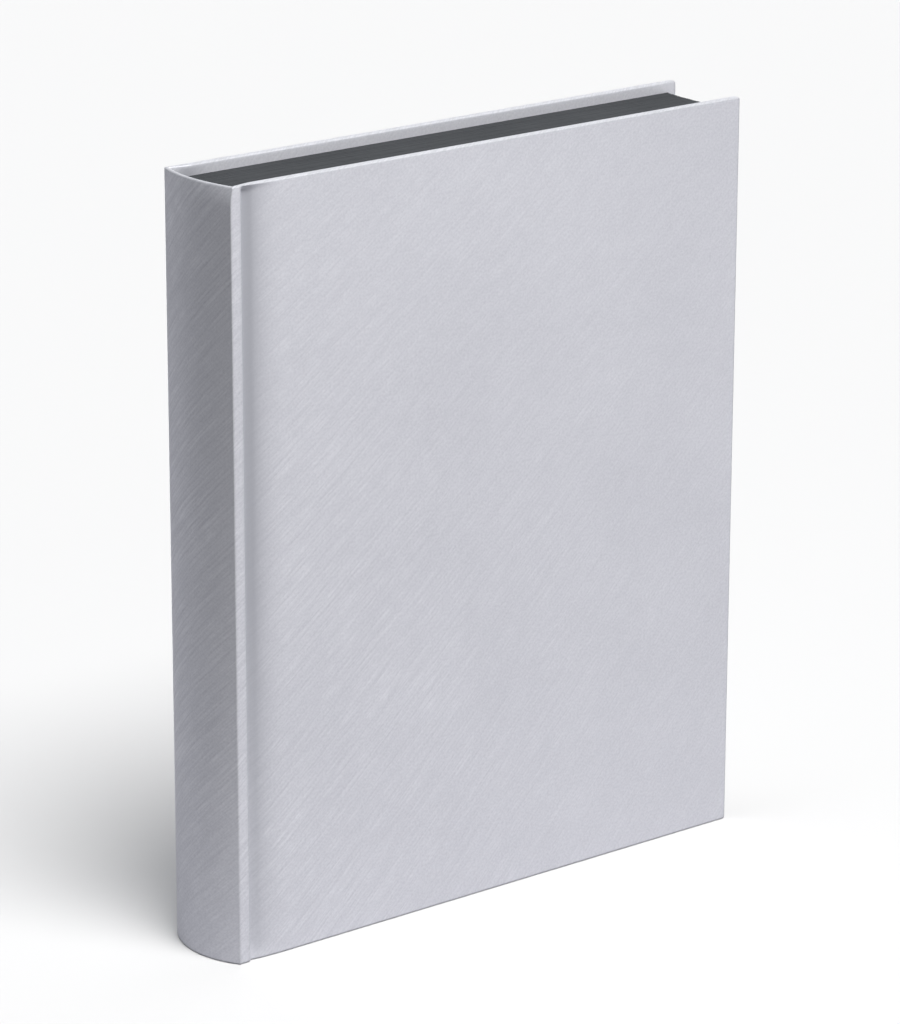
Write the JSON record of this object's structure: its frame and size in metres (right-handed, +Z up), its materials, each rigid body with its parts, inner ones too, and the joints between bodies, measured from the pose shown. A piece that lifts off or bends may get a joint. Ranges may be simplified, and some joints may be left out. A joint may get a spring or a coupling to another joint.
{
  "type": "photo album",
  "caption": "Case-bound photo album with black pages, silver cloth covers, a rounded hollow spine and grooved hinges, standing on its tail edge.",
  "frame": {"origin": "centre of the standing album's footprint, on the surface it stands on", "axes": "+Z up from tail to head, +X from the spine to the fore-edge, +Y from the front cover to the back cover"},
  "size_m": [0.2504, 0.041, 0.3],
  "materials": {
    "silver_cloth": "satin",
    "grey_board": "matte",
    "spine_card": "matte",
    "endpaper": "matte",
    "black_pages": "matte",
    "mull": "matte",
    "lining_paper": "matte"
  },
  "bodies": {
    "text_block": {"page_block": "black_pages", "front_flyleaf": "endpaper", "back_flyleaf": "endpaper", "spine_mull": "mull", "spine_lining": "lining_paper", "spine_card": "spine_card", "spine_cloth": "silver_cloth"},
    "front_cover": {"front_board": "grey_board", "front_cover_cloth": "silver_cloth", "front_pastedown": "endpaper"},
    "back_cover": {"back_board": "grey_board", "back_cover_cloth": "silver_cloth", "back_pastedown": "endpaper"}
  },
  "joints": [
    {"name": "front_cover_hinge", "type": "hinge", "parent": "text_block", "child": "front_cover", "pos_m": [-0.1143, -0.0208, 0.15], "axis": [0, 0, -1], "range_deg": [0, 179]},
    {"name": "back_cover_hinge", "type": "hinge", "parent": "text_block", "child": "back_cover", "pos_m": [-0.1143, 0.0208, 0.15], "axis": [0, 0, 1], "range_deg": [0, 179]}
  ]
}
